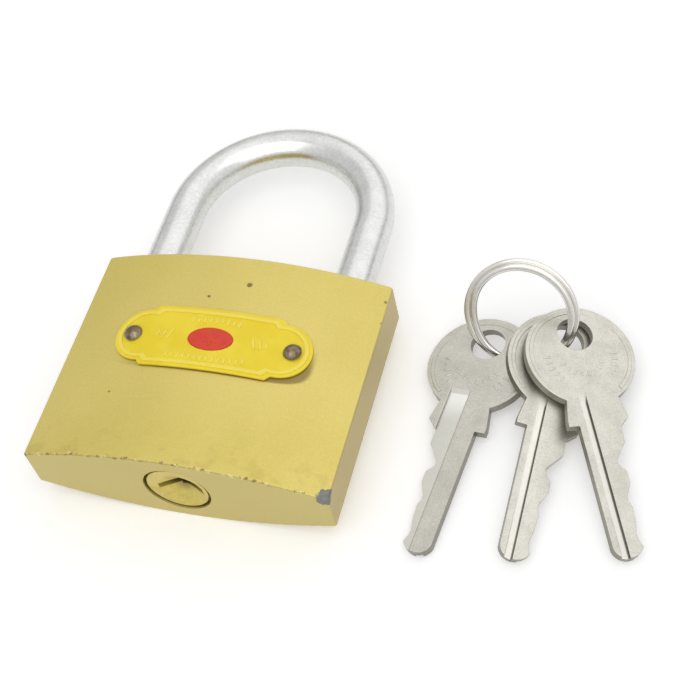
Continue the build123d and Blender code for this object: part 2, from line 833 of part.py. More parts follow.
# Every piece by its name
pieces = {
    "case_body": case_body.part,
    "shackle": shackle.part,
    "shackle_spring": shackle_spring_solid,
    "shackle_retaining_pin": make_retaining_pin(
        retaining_pin_x, retaining_pin_y, retaining_pin_radius, retaining_pin_reach
    ),
    "bolt_left": bolt_left_solid,
    "bolt_right": bolt_right.part,
    "cross_bore_plug": cross_bore_plug.part,
    "plug": plug.part,
    "plug_retaining_pin": make_retaining_pin(plug_pin_x, plug_pin_y, plug_pin_radius, plug_pin_reach),
    "cam": cam.part,
    "chamber_plugs": chamber_plugs.part,
    "name_plate": name_plate_solid,
    "oval_inlay": oval_inlay.part,
    "rivet_left": make_rivet(-rivet_spacing / 2),
    "rivet_right": make_rivet(rivet_spacing / 2),
    "split_ring": split_ring.part,
    "key_left": make_key(left_rest),
    "key_middle": make_key(middle_rest),
    "key_right": make_key(right_rest),
}
for index in range(pin_count):
    pieces[f"key_pin_{index + 1}"] = make_key_pin(index)
    pieces[f"driver_pin_{index + 1}"] = make_driver_pin(index)
    pieces[f"pin_spring_{index + 1}"] = make_pin_spring(index)

os.makedirs("parts", exist_ok=True)
for name, piece in pieces.items():
    piece.label = name
    export_step(piece, f"parts/{name}.step")

for rest in (left_rest, middle_rest, right_rest):
    print("key hole", rest.hole_centre(), "up", rest.up)
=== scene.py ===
import json
import math

import bmesh
import bpy
from mathutils import Matrix, Vector


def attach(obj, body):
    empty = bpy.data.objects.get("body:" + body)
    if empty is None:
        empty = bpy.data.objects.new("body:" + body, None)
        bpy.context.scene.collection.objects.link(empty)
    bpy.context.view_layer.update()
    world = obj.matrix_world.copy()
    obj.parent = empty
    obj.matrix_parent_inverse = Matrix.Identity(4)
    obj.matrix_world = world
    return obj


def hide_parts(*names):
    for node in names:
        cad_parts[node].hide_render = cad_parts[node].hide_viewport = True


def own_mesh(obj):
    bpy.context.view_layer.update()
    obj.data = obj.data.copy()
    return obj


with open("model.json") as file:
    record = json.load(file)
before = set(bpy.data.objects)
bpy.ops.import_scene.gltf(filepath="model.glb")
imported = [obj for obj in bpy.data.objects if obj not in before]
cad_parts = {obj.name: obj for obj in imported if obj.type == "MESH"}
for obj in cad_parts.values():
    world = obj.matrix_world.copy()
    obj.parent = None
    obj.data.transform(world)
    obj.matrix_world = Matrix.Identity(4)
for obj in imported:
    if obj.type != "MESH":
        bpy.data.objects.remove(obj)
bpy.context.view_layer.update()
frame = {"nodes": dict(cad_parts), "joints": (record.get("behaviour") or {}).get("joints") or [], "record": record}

# One millimetre in the scene's metres
mm = 0.001

# Sizes shared with the solids, in millimetres
half_width = 31.5
case_height = 50.3
half_side = 4.83
half_centre = 9.66
table_height = -9.56
face_radius = (half_width**2 + (half_centre - half_side) ** 2) / (2 * (half_centre - half_side))


def face_height(x):
    """Height of the case's front face over x, in millimetres."""
    return half_centre - face_radius + math.sqrt(face_radius**2 - x**2)


def srgb(red, green, blue):
    """Scene colour of a colour given in 0 to 255."""
    values = []
    for part in (red, green, blue):
        share = part / 255
        values.append(share / 12.92 if share <= 0.04045 else ((share + 0.055) / 1.055) ** 2.4)
    return (*values, 1.0)


# Camera at the photograph's viewing angle
camera_place = Vector((106.44, -118.19, 230.4)) * mm
camera_right = Vector((0.9527, 0.2555, -0.1645))
camera_up = Vector((-0.1151, 0.8044, 0.5829))
camera_back = Vector((0.2813, -0.5364, 0.7957))
camera_data = bpy.data.cameras.new("camera")
camera_data.lens = 73.93
camera_data.sensor_width = 36.0
camera_data.clip_start = 0.01
camera = bpy.data.objects.new("camera", camera_data)
camera_turn = Matrix((camera_right, camera_up, camera_back)).transposed().to_4x4()
camera.matrix_world = Matrix.Translation(camera_place) @ camera_turn
bpy.context.scene.collection.objects.link(camera)
bpy.context.scene.camera = camera
bpy.context.scene.view_settings.view_transform = "Standard"

# Keys: sizes in millimetres, then each key's heading in degrees and whether its recessed face is up
key_thickness = 1.8
key_hole_centre = 20.3
key_bow_centre = 15.5
key_headings = {"left": (7.3, True), "middle": (-0.75, False), "right": (-25.2, False)}
joint_data = {joint["name"]: joint for joint in frame["joints"]}


class KeyPlace:
    """Where a key lies: its own right, bow and face directions, and its shoulder in millimetres."""

    def __init__(self, side):
        swing = joint_data[f"{side}_key_swing"]
        heading, self.recess_up = key_headings[side]
        forward = Vector((math.sin(math.radians(heading)), math.cos(math.radians(heading)), 0.0))
        self.up = Vector(swing["axis"]).normalized()
        self.right = forward.cross(self.up).normalized()
        self.bow = self.up.cross(self.right)
        self.shoulder = Vector(swing["pos_m"]) / mm - self.bow * key_hole_centre

    def point(self, across, along, lift):
        """Place over the face that is up, from the key's middle line and shoulder."""
        return self.shoulder + self.right * across + self.bow * along + self.up * (key_thickness + lift)


class Nodes:
    """Short way to write nodes into a tree."""

    def __init__(self, tree):
        self.tree = tree
        self.coordinates = tree.nodes.new("ShaderNodeTexCoord")
        self.place = self.coordinates.outputs["Object"]

    def put(self, socket, value):
        """Link a socket or set its value."""
        if isinstance(value, bpy.types.NodeSocket):
            self.tree.links.new(value, socket)
        else:
            socket.default_value = value

    def fill(self, kind, *values):
        """New node with its first inputs filled in."""
        node = self.tree.nodes.new(kind)
        for index, value in enumerate(values):
            self.put(node.inputs[index], value)
        return node

    def math(self, operation, *values):
        node = self.fill("ShaderNodeMath", *values)
        node.operation = operation
        return node.outputs[0]

    def plus(self, first, second):
        return self.math("ADD", first, second)

    def minus(self, first, second):
        return self.math("SUBTRACT", first, second)

    def times(self, first, second):
        return self.math("MULTIPLY", first, second)

    def most(self, first, second):
        return self.math("MAXIMUM", first, second)

    def noise(self, scale, detail=3.0, roughness=0.5, place=None):
        """Cloudy noise; the scale is per metre."""
        node = self.tree.nodes.new("ShaderNodeTexNoise")
        self.put(node.inputs["Vector"], place or self.place)
        self.put(node.inputs["Scale"], scale)
        self.put(node.inputs["Detail"], detail)
        self.put(node.inputs["Roughness"], roughness)
        return node.outputs["Fac"]

    def mapped(self, scale=(1.0, 1.0, 1.0), move=(0.0, 0.0, 0.0)):
        """Object place, scaled per axis and moved."""
        node = self.tree.nodes.new("ShaderNodeMapping")
        node.vector_type = "POINT"
        self.put(node.inputs["Vector"], self.place)
        self.put(node.inputs["Scale"], scale)
        self.put(node.inputs["Location"], move)
        return node.outputs[0]

    def distance(self, *point):
        """Distance from a point given in millimetres."""
        node = self.fill("ShaderNodeVectorMath", self.place, Vector(point) * mm)
        node.operation = "DISTANCE"
        return node.outputs["Value"]

    def dot(self, value, direction):
        """Length of a vector along a direction."""
        node = self.fill("ShaderNodeVectorMath", value, direction)
        node.operation = "DOT_PRODUCT"
        return node.outputs["Value"]

    def along(self, origin, direction):
        """Distance from an origin in millimetres along a direction."""
        return self.minus(self.dot(self.place, direction), origin.dot(direction) * mm)

    def parts(self, vector=None):
        """The three parts of a vector, or of the object place."""
        return self.fill("ShaderNodeSeparateXYZ", vector or self.place).outputs

    def ramp(self, value, low, high, start=0.0, end=1.0):
        """Smooth step from start to end as the value goes from low to high."""
        node = self.fill("ShaderNodeMapRange", value, low, high, start, end)
        node.interpolation_type = "SMOOTHSTEP"
        return node.outputs[0]

    def step(self, value, low, high, start=0.0, end=1.0):
        """Smooth step between two lengths given in millimetres."""
        return self.ramp(value, low * mm, high * mm, start, end)

    def band(self, value, low, high, blur):
        """1 between two lengths given in millimetres, with soft ends."""
        return self.times(
            self.step(value, low - blur, low + blur),
            self.step(value, high - blur, high + blur, 1.0, 0.0),
        )

    def mix(self, share, first, second):
        """Colour between two colours."""
        node = self.tree.nodes.new("ShaderNodeMix")
        node.data_type = "RGBA"
        self.put(node.inputs[0], share)
        self.put(node.inputs[6], first)
        self.put(node.inputs[7], second)
        return node.outputs[2]

    def tint(self, base, share, strength, colour):
        """Base colour with another over it, where the share says."""
        return self.mix(self.times(share, strength), base, colour)

    def bump(self, height, depth, strength=0.5):
        """Normal of a relief whose depth is given in millimetres."""
        node = self.tree.nodes.new("ShaderNodeBump")
        self.put(node.inputs["Strength"], strength)
        self.put(node.inputs["Distance"], depth * mm)
        self.put(node.inputs["Height"], height)
        return node.outputs[0]

    def rays(self):
        """Kinds of ray that arrive."""
        return self.tree.nodes.new("ShaderNodeLightPath").outputs


class MaterialNodes(Nodes):
    """Nodes of a new material."""

    def __init__(self, name):
        self.material = bpy.data.materials.new(name)
        self.material.use_nodes = True
        self.material.node_tree.nodes.clear()
        super().__init__(self.material.node_tree)

    def finish(self, shader):
        """Put a shader on the surface and give back the material."""
        output = self.tree.nodes.new("ShaderNodeOutputMaterial")
        self.tree.links.new(shader.outputs[0], output.inputs["Surface"])
        return self.material

    def principled(self, **sockets):
        """Principled surface with the given sockets."""
        shader = self.tree.nodes.new("ShaderNodeBsdfPrincipled")
        for name, value in sockets.items():
            self.put(shader.inputs[name.replace("_", " ")], value)
        return self.finish(shader)


# Gold paint of the case and plug, its wear, and painted light and shade on it
gold_deep = srgb(216, 197, 100)
gold_light = srgb(224, 205, 112)
gold_streak = srgb(230, 212, 136)
gold_grain = srgb(176, 154, 72)
gold_turned = srgb(206, 194, 148)
gold_smudged = srgb(172, 148, 66)
gold_plate_shadow = srgb(112, 88, 34)
gold_side_shade = srgb(176, 154, 110)
gold_end_shade = srgb(190, 174, 106)
gold_roughness = 0.42
worn_roughness = 0.6
grain_strength = 0.13
fleck_light = srgb(240, 226, 158)
fleck_dark = srgb(128, 100, 56)
iron_dark = srgb(92, 92, 90)
iron_light = srgb(150, 149, 144)
mark_brown = srgb(104, 86, 44)
mouth_shade_brown = srgb(84, 68, 36)
lower_half_dark = srgb(170, 146, 56)
lower_half_light = srgb(240, 222, 118)
keyway_shade = srgb(46, 40, 26)

# Yellow plate and red oval
yellow_deep = srgb(242, 215, 30)
yellow_light = srgb(248, 224, 50)
yellow_top_highlight = srgb(252, 238, 110)
yellow_foot_shadow = srgb(96, 74, 22)
red_deep = srgb(214, 50, 22)
red_light = srgb(228, 66, 32)

# Chrome of the shackle, nickel of the keys with painted light and shade on their milled parts and walls, and steel
# of the rivets
chrome_deep = srgb(208, 209, 206)
chrome_light = srgb(222, 222, 220)
nickel_deep = srgb(186, 184, 174)
nickel_light = srgb(208, 206, 196)
recess_light = srgb(216, 216, 208)
recess_edge_shade = srgb(120, 118, 110)
runout_highlight = srgb(244, 244, 240)
groove_floor_lit = srgb(232, 230, 222)
groove_shadow = srgb(86, 82, 72)
key_wall_shade = srgb(92, 88, 78)
rivet_deep = srgb(112, 98, 80)
rivet_light = srgb(146, 132, 110)

# Name plate's place and half sizes, and how square its outline is
plate_height = 28.8
plate_half_width = 20.9
plate_half_height = 7.3
plate_squareness = 5.0

# Chips at the keyway end's front corners and marks on the case: place, reach and how ragged they are
corner_chips = (((31.0, 0.4, 4.9), 1.9), ((31.3, 1.6, 4.7), 1.1), ((-31.5, 0.0, 4.6), 0.9))
face_marks = (
    ((3.6, 43.5, 9.6), 0.68),
    ((-4.0, 39.6, 9.6), 0.4),
    ((-17.5, 15.0, 8.2), 0.32),
    ((30.9, 46.2, 4.9), 0.45),
    ((31.2, 41.0, 4.8), 0.3),
)
ragged_reach = 0.35

# Flecks along the edges: how far from the edge they reach at most
light_fleck_reach = 0.9
dark_fleck_reach = 0.8
side_fleck_reach = 0.5

# Painted shade in the bore round the plug: its radius and depth
mouth_radius = 6.95
mouth_depth = 45.0

# Milled parts across a key's face: its recess, with run-out (painted highlight) and edge (painted shade), and its
# groove, with painted light on its floor and a painted shadow line
recess_span = (-0.05, 4.3)
runout_span = (-0.05, 4.0)
recess_edge_span = (-0.25, -0.05)
groove_span = (-2.7, -1.4)
groove_shadow_span = (-1.45, -1.22)


def edge_gaps(nodes):
    """Distances from the case's front face, its nearer side and its keyway end."""
    x, y, z = nodes.parts()
    arc = nodes.math("SQRT", nodes.minus((face_radius * mm) ** 2, nodes.times(x, x)))
    front = nodes.plus(arc, (half_centre - face_radius) * mm)
    side_gap = nodes.minus(half_width * mm, nodes.math("ABSOLUTE", x))
    return nodes.minus(front, z), side_gap, y


def axis_distance(nodes):
    """Distance from the plug's axis."""
    x, y, z = nodes.parts()
    return nodes.math("SQRT", nodes.plus(nodes.times(x, x), nodes.times(z, z)))


def painted_edges(nodes):
    """Shares of light flecks, dark flecks, grey chips and marks on the case's paint."""
    face_gap, side_gap, end_gap = edge_gaps(nodes)
    end_edge = nodes.most(face_gap, end_gap)
    side_edge = nodes.most(face_gap, side_gap)
    patches = nodes.noise(620.0, 5.0, 0.7)
    other = nodes.noise(760.0, 4.0, 0.7, nodes.mapped(move=(0.3, 0.1, 0.2)))
    light_width = nodes.ramp(patches, 0.47, 0.7, 0.0, light_fleck_reach * mm)
    dark_width = nodes.ramp(other, 0.46, 0.68, 0.0, dark_fleck_reach * mm)
    side_width = nodes.ramp(patches, 0.58, 0.8, 0.0, side_fleck_reach * mm)
    light = nodes.step(nodes.minus(light_width, end_edge), 0.0, 0.2)
    end_dark = nodes.step(nodes.minus(dark_width, end_edge), 0.0, 0.3)
    side_dark = nodes.step(nodes.minus(side_width, side_edge), 0.0, 0.15)
    edge_line = nodes.step(end_edge, 0.1, 0.3, 0.4, 0.0)
    dark = nodes.most(nodes.most(end_dark, side_dark), edge_line)
    ragged = nodes.ramp(nodes.noise(800.0, 4.0, 0.6), 0.3, 0.7, -ragged_reach * mm, ragged_reach * mm)
    chip = 0.0
    for point, reach in corner_chips:
        inside = nodes.minus(reach * mm, nodes.plus(nodes.distance(*point), ragged))
        chip = nodes.most(chip, nodes.step(inside, 0.0, 0.2))
    marks = 0.0
    for point, reach in face_marks:
        inside = nodes.minus(reach * mm, nodes.plus(nodes.distance(*point), nodes.times(ragged, 0.3)))
        marks = nodes.most(marks, nodes.step(inside, -0.05, 0.3))
    return light, dark, chip, marks


def mouth_shade_share(nodes):
    """Share of the bore round the plug's mouth that is darkened as painted shade."""
    y = nodes.parts()[1]
    round_axis = nodes.band(axis_distance(nodes), -1.0, mouth_radius, 0.02)
    return nodes.times(round_axis, nodes.band(y, 0.4, mouth_depth, 0.2))


def swirl_share(nodes):
    """Faint turned marks round the plug on the keyway end."""
    y = nodes.parts()[1]
    radius = nodes.fill("ShaderNodeCombineXYZ", axis_distance(nodes)).outputs[0]
    rings = nodes.ramp(nodes.noise(1500.0, 2.0, 0.6, radius), 0.35, 0.65)
    return nodes.times(rings, nodes.step(y, 0.1, 0.4, 1.0, 0.0))


def smudge_share(nodes):
    """Brownish handling marks on the front near the keyway end."""
    y = nodes.parts()[1]
    near = nodes.times(nodes.step(y, 1.0, 11.0, 1.0, 0.0), nodes.step(y, 0.2, 0.8))
    return nodes.times(near, nodes.ramp(nodes.noise(260.0, 4.0, 0.6), 0.48, 0.68))


def plate_shadow_share(nodes):
    """Share of the painted shadow of the name plate on the case, along the plate's lower and right edges."""
    x, y, z = nodes.parts()
    across = nodes.math("DIVIDE", x, plate_half_width * mm)
    rise = nodes.math("DIVIDE", nodes.minus(y, plate_height * mm), plate_half_height * mm)
    powers = [nodes.math("POWER", nodes.math("ABSOLUTE", way), plate_squareness) for way in (across, rise)]
    outline = nodes.math("POWER", nodes.plus(*powers), 1 / plate_squareness)
    below = nodes.ramp(nodes.minus(nodes.times(across, 0.6), rise), 0.2, 1.1)
    close = nodes.times(nodes.ramp(outline, 1.0, 1.055, 1.0, 0.0), below)
    return nodes.times(close, nodes.step(z, 1.0, 3.0))


def gold_coat(nodes):
    """Colour and shine of satin gold paint with a fine sideways grain."""
    broad = nodes.noise(34.0, 2.0)
    fine = nodes.noise(2600.0, 3.0, 0.6)
    grain = nodes.noise(1.0, 3.0, 0.6, nodes.mapped(scale=(60.0, 2200.0, 2200.0)))
    cloud = nodes.mix(nodes.ramp(broad, 0.3, 0.7), gold_deep, gold_light)
    lined = nodes.mix(nodes.ramp(grain, 0.3, 0.7, 0.0, grain_strength), cloud, gold_streak)
    paint = nodes.mix(nodes.ramp(fine, 0.35, 0.65, 0.0, grain_strength), lined, gold_grain)
    normal = nodes.bump(nodes.plus(nodes.times(grain, 0.4), nodes.times(fine, 0.6)), 0.01)
    return paint, {"Metallic": 0.4, "Coat_Weight": 0.2, "Coat_Roughness": 0.35, "Normal": normal}


def case_material(name):
    """Gold paint, chipped, smudged and worn at the keyway end, with painted shade on the side faces, the keyway
    end and the bore, and a painted shadow along the name plate's lower and right edges.
    """
    nodes = MaterialNodes(name)
    paint, shine = gold_coat(nodes)
    light, dark, chip, marks = painted_edges(nodes)
    side_gap, end_gap = edge_gaps(nodes)[1:]
    bare = nodes.mix(nodes.noise(1100.0, 4.0, 0.7), iron_dark, iron_light)
    paint = nodes.tint(paint, swirl_share(nodes), 0.3, gold_turned)
    paint = nodes.tint(paint, smudge_share(nodes), 0.26, gold_smudged)
    # Painted shadow of the name plate on the case
    paint = nodes.tint(paint, plate_shadow_share(nodes), 0.75, gold_plate_shadow)
    # Painted shade: the side faces, then the keyway end, darker and greyer than the front
    paint = nodes.mix(nodes.step(side_gap, 0.02, 0.3, 0.6, 0.0), paint, gold_side_shade)
    paint = nodes.mix(nodes.step(end_gap, 0.02, 0.3, 0.5, 0.0), paint, gold_end_shade)
    paint = nodes.tint(paint, light, 0.75, fleck_light)
    paint = nodes.tint(paint, dark, 0.8, fleck_dark)
    paint = nodes.mix(chip, paint, bare)
    paint = nodes.tint(paint, marks, 0.85, mark_brown)
    # Painted shade inside the bore round the plug
    paint = nodes.tint(paint, mouth_shade_share(nodes), 0.8, mouth_shade_brown)
    rough = nodes.ramp(nodes.most(chip, dark), 0.0, 1.0, gold_roughness, worn_roughness)
    return nodes.principled(Base_Color=paint, Roughness=rough, **shine)


def plug_material(name):
    """Gold paint on the plug's face, with painted light on its lower half in a mottled yellower colour and painted
    shade inside the keyway.
    """
    nodes = MaterialNodes(name)
    paint, shine = gold_coat(nodes)
    x, y, z = nodes.parts()
    lit_lower_half = nodes.mix(nodes.noise(900.0, 4.0, 0.7), lower_half_dark, lower_half_light)
    # Painted light: the lower half of the plug's face in a mottled yellower colour
    paint = nodes.mix(nodes.step(z, -0.4, 0.1, 0.75, 0.0), paint, lit_lower_half)
    # Painted shade, darker deeper inside the keyway
    paint = nodes.mix(nodes.step(y, 1.2, 3.4), paint, keyway_shade)
    return nodes.principled(Base_Color=paint, Roughness=gold_roughness, **shine)


def plate_material(name):
    """Glossy yellow enamel paint, with a painted highlight on the tops of the raised rim and bars and a painted
    shadow at the plate's foot.
    """
    nodes = MaterialNodes(name)
    face_gap = edge_gaps(nodes)[0]
    paint = nodes.mix(nodes.ramp(nodes.noise(160.0, 3.0), 0.35, 0.65), yellow_deep, yellow_light)
    # Painted highlight on the tops of the raised rim and bars
    paint = nodes.tint(paint, nodes.step(face_gap, -0.74, -0.64, 1.0, 0.0), 0.5, yellow_top_highlight)
    # Painted shadow along the foot of the plate's edge, where it meets the case
    paint = nodes.tint(paint, nodes.step(face_gap, -0.4, -0.15), 0.85, yellow_foot_shadow)
    normal = nodes.bump(nodes.noise(700.0, 2.0), 0.04)
    return nodes.principled(Base_Color=paint, Roughness=0.3, Normal=normal)


def enamel_material(name):
    """Red enamel of the oval."""
    nodes = MaterialNodes(name)
    paint = nodes.mix(nodes.noise(500.0, 3.0), red_deep, red_light)
    normal = nodes.bump(nodes.noise(900.0, 2.0), 0.02, 0.4)
    return nodes.principled(Base_Color=paint, Roughness=0.25, Normal=normal)


def bright_metal(name, colour, roughness, depth=0.004):
    """Polished or plated metal with faint scuffs."""
    nodes = MaterialNodes(name)
    scuffs = nodes.noise(900.0, 4.0, 0.6)
    rough = nodes.ramp(scuffs, 0.3, 0.8, roughness, roughness * 1.6)
    normal = nodes.bump(scuffs, depth)
    return nodes.principled(Base_Color=colour, Metallic=1.0, Roughness=rough, Normal=normal)


def rivet_material(name):
    """Dark, slightly pitted rivet steel."""
    nodes = MaterialNodes(name)
    pits = nodes.noise(700.0, 3.0, 0.5)
    colour = nodes.mix(nodes.ramp(pits, 0.4, 0.62), rivet_deep, rivet_light)
    normal = nodes.bump(pits, 0.02, 0.6)
    return nodes.principled(Base_Color=colour, Metallic=1.0, Roughness=0.22, Normal=normal)


def frosted(nodes, fine, broad, spread, deep, light):
    """Colour and relief of metal with a fine and a broad grain."""
    shade = nodes.plus(nodes.times(fine, 0.6), nodes.times(broad, 0.4))
    return nodes.mix(nodes.ramp(shade, 0.5 - spread, 0.5 + spread), deep, light), shade


def chrome_material(name):
    """Worn chrome on a slightly pitted bar, with a fine uneven shine."""
    nodes = MaterialNodes(name)
    broad = nodes.noise(210.0, 4.0, 0.65)
    colour, shade = frosted(nodes, nodes.noise(1400.0, 4.0, 0.7), broad, 0.12, chrome_deep, chrome_light)
    rough = nodes.ramp(broad, 0.35, 0.65, 0.23, 0.3)
    normal = nodes.bump(shade, 0.0045)
    return nodes.principled(Base_Color=colour, Metallic=1.0, Roughness=rough, Normal=normal)


def key_material(side):
    """Tumbled nickel, with the milled groove and recess a little different, and painted light and shade on the
    run-out, the recess's edge, the groove and the side walls.
    """
    nodes = MaterialNodes(f"key_{side}_nickel")
    place = KeyPlace(side)
    across = nodes.along(place.shoulder, -place.right if place.recess_up else place.right)
    along = nodes.along(place.shoulder, place.bow)
    broad = nodes.noise(260.0, 4.0, 0.6)
    colour, shade = frosted(nodes, nodes.noise(3200.0, 3.0, 0.7), broad, 0.15, nickel_deep, nickel_light)
    if place.recess_up:
        below = nodes.step(along, 8.8, 9.2, 1.0, 0.0)
        recess = nodes.times(nodes.band(across, *recess_span, 0.04), below)
        fade = nodes.times(nodes.step(along, 1.0, 7.5), nodes.step(along, 7.8, 8.2, 1.0, 0.0))
        runout = nodes.times(fade, nodes.band(across, *runout_span, 0.05))
        edge = nodes.times(nodes.band(across, *recess_edge_span, 0.06), below)
        colour = nodes.tint(colour, recess, 0.6, recess_light)
        # Painted highlight on the run-out ramp
        colour = nodes.tint(colour, runout, 0.75, runout_highlight)
        # Painted shade along the recess's edge
        colour = nodes.tint(colour, edge, 0.45, recess_edge_shade)
    else:
        blade = nodes.step(along, 4.5, 7.5, 1.0, 0.0)
        groove = nodes.times(nodes.band(across, *groove_span, 0.05), blade)
        line = nodes.times(nodes.band(across, *groove_shadow_span, 0.06), blade)
        # Painted light on the groove's floor
        colour = nodes.tint(colour, groove, 0.5, groove_floor_lit)
        # Painted shadow of the groove's wall along its floor
        colour = nodes.tint(colour, line, 0.8, groove_shadow)
    surface = nodes.tree.nodes.new("ShaderNodeNewGeometry").outputs["True Normal"]
    wall = nodes.ramp(nodes.math("ABSOLUTE", nodes.dot(surface, place.up)), 0.1, 0.5, 0.6, 0.0)
    # Painted shade on the key's side walls
    colour = nodes.mix(wall, colour, key_wall_shade)
    normal = nodes.bump(shade, 0.02)
    return nodes.principled(Base_Color=colour, Metallic=1.0, Roughness=0.38, Normal=normal)


materials = {
    "case_paint": case_material("case_paint"),
    "plug_paint": plug_material("plug_paint"),
    "plate_paint": plate_material("plate_paint"),
    "inlay_enamel": enamel_material("inlay_enamel"),
    "shackle_chrome": chrome_material("shackle_chrome"),
    "key_nickel": bright_metal("key_nickel", srgb(200, 198, 188), 0.38),
    "ring_steel": bright_metal("ring_steel", srgb(228, 226, 220), 0.15, 0.0015),
    "rivet_steel": rivet_material("rivet_steel"),
    "plain_steel": bright_metal("plain_steel", srgb(170, 170, 172), 0.35),
    "spring_steel": bright_metal("spring_steel", srgb(160, 160, 164), 0.3),
    "brass": bright_metal("brass", srgb(214, 178, 98), 0.3),
}
for side in key_headings:
    materials[f"key_{side}_nickel"] = key_material(side)

# Each node's material slot and body
slots = {entry["node"]: entry["material_slot"] for entry in frame["record"]["subparts"]}
node_bodies = {}
for body, names in frame["record"]["behaviour"]["bodies"].items():
    for name in names:
        node_bodies[name] = body

for name, node in frame["nodes"].items():
    node.data.materials.clear()
    node.data.materials.append(materials.get(f"{name}_nickel", materials[slots[name]]))


def show(piece, body, slot, *replaced):
    """Give a new piece its body, its slot's material and the nodes it stands for."""
    bpy.context.scene.collection.objects.link(piece)
    if not piece.data.materials:
        piece.data.materials.append(materials[slot])
    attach(piece, body)
    if replaced:
        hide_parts(*replaced)


def soften(mesh, angle):
    """Smooth shading over every edge flatter than the angle in degrees."""
    mesh.polygons.foreach_set("use_smooth", [True] * len(mesh.polygons))
    mesh.update()
    form = bmesh.new()
    form.from_mesh(mesh)
    for edge in form.edges:
        edge.smooth = not edge.is_manifold or edge.calc_face_angle() < math.radians(angle)
    form.to_mesh(mesh)
    form.free()


def mesh_piece(name, form, body, slot, *replaced, angle=40.0):
    """Finish a new mesh and show it."""
    bmesh.ops.recalc_face_normals(form, faces=form.faces)
    mesh = bpy.data.meshes.new(name)
    form.to_mesh(mesh)
    form.free()
    piece = bpy.data.objects.new(name, mesh)
    show(piece, body, slot, *replaced)
    soften(mesh, angle)
    return piece


def loft(form, rings):
    """Closed skin over equal rings of points, in millimetres."""
    rows = [[form.verts.new(Vector(point) * mm) for point in ring] for ring in rings]
    count = len(rows[0])
    for first, second in zip(rows, rows[1:]):
        for place in range(count):
            follow = (place + 1) % count
            form.faces.new((first[place], first[follow], second[follow], second[place]))
    form.faces.new(list(reversed(rows[0])))
    form.faces.new(rows[-1])


# Shackle: a smooth bar with its neck and notches
leg_x = 21.5
bar_radius = 4.2
crown_start = 68.8
long_foot = 16.0
short_tip = 38.4
foot_chamfer = 0.8
neck_radius = 2.2
neck_low = 19.0
neck_high = 34.3
neck_step = 0.05
notch_floor = 19.3
notch_low = 40.2
notch_high = 46.2
notch_step = 0.02
bar_sides = 64
crown_steps = 72


def bar_ring(angle, rise, radius, notched):
    """Ring of points round the bar: at an angle of the crown, raised along a leg."""
    outward = Vector((math.cos(angle), math.sin(angle), 0.0))
    centre = Vector((leg_x * math.cos(angle), crown_start + leg_x * math.sin(angle) + rise, 0.0))
    points = []
    for side in range(bar_sides):
        spin = 2 * math.pi * side / bar_sides
        point = centre + outward * radius * math.cos(spin) + Vector((0, 0, 1)) * radius * math.sin(spin)
        if notched and abs(point.x) < notch_floor:
            point.x = math.copysign(notch_floor, point.x)
        points.append(point)
    return points


def shackle_piece():
    upper = [
        (notch_low - notch_step, bar_radius, False),
        (notch_low, bar_radius, True),
        (notch_high, bar_radius, True),
        (notch_high + notch_step, bar_radius, False),
        (case_height, bar_radius, False),
    ]
    long_leg = [
        (long_foot, bar_radius - foot_chamfer, False),
        (long_foot + foot_chamfer, bar_radius, False),
        (neck_low - neck_step, bar_radius, False),
        (neck_low, neck_radius, False),
        (neck_high, neck_radius, False),
        (neck_high + neck_step, bar_radius, False),
    ] + upper
    short_leg = upper[::-1] + [
        (short_tip + foot_chamfer, bar_radius, False),
        (short_tip, bar_radius - foot_chamfer, False),
    ]
    rings = [bar_ring(0.0, height - crown_start, radius, cut) for height, radius, cut in long_leg]
    for step in range(crown_steps + 1):
        rings.append(bar_ring(math.pi * step / crown_steps, 0.0, bar_radius, False))
    rings += [bar_ring(math.pi, height - crown_start, radius, cut) for height, radius, cut in short_leg]
    form = bmesh.new()
    loft(form, rings)
    mesh_piece("shackle_bar", form, node_bodies["shackle"], "shackle_chrome", "shackle", angle=35.0)


shackle_piece()

# Split ring: one flat wire wound twice round, with a short cross-over and its coils a little apart
ring_radius = 10.6
ring_band = 1.4
ring_coil = 1.0
ring_pitch = 1.06
ring_step = 0.4
ring_parting = 0.8
ring_end_gap = 6.0
parting_place = 190.0
parting_spread = 40.0
ring_centre = Vector((57.45, 49.9, 0.968))
ring_slope = math.radians(60.0)
ring_up = Vector((0.0, math.cos(ring_slope), math.sin(ring_slope)))
ring_axis = Vector((0.0, -math.sin(ring_slope), math.cos(ring_slope)))
wire_corner = 0.4
wire_corner_steps = 4
cross_start = 262.0
cross_length = 34.0
ring_steps = 280


def wire_section():
    """Rounded rectangle across the wire: outward and along the ring's axis."""
    points = []
    for out, side, start in ((1, 1, 0), (-1, 1, 90), (-1, -1, 180), (1, -1, 270)):
        for step in range(wire_corner_steps + 1):
            spin = math.radians(start + 90 * step / wire_corner_steps)
            points.append((
                out * (ring_band / 2 - wire_corner) + wire_corner * math.cos(spin),
                side * (ring_coil / 2 - wire_corner) + wire_corner * math.sin(spin),
            ))
    return points


